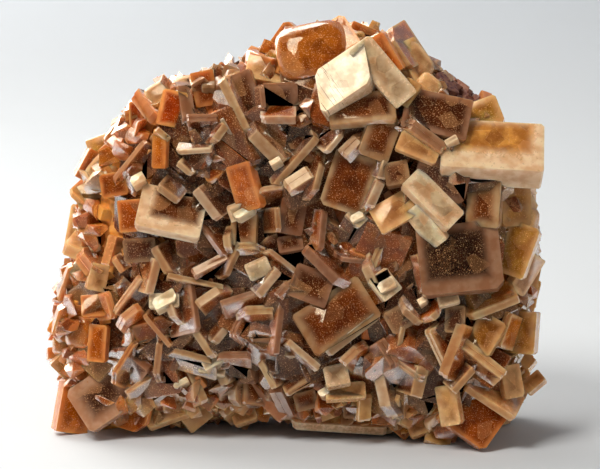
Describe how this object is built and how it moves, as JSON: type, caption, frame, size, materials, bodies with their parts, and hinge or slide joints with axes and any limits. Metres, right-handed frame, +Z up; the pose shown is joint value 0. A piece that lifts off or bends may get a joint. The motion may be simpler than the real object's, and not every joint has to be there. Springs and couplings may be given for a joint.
{
  "type": "fluorite specimen",
  "caption": "Mineral hand specimen: intergrown honey and cream tabular crystals on a purple-brown cubic druse, standing free on its broken lower edge.",
  "frame": {"origin": "middle of the box that the specimen fills, at the level it stands on", "axes": "+X to the right along the specimen's length, +Z up, the crystal face towards -Y"},
  "size_m": [0.0998, 0.053, 0.0851],
  "materials": {
    "crystal": "glassy crystal faces, honey brown inside with milky cream rims"
  },
  "bodies": {
    "root": {"crystal_cluster": "crystal"}
  },
  "joints": []
}
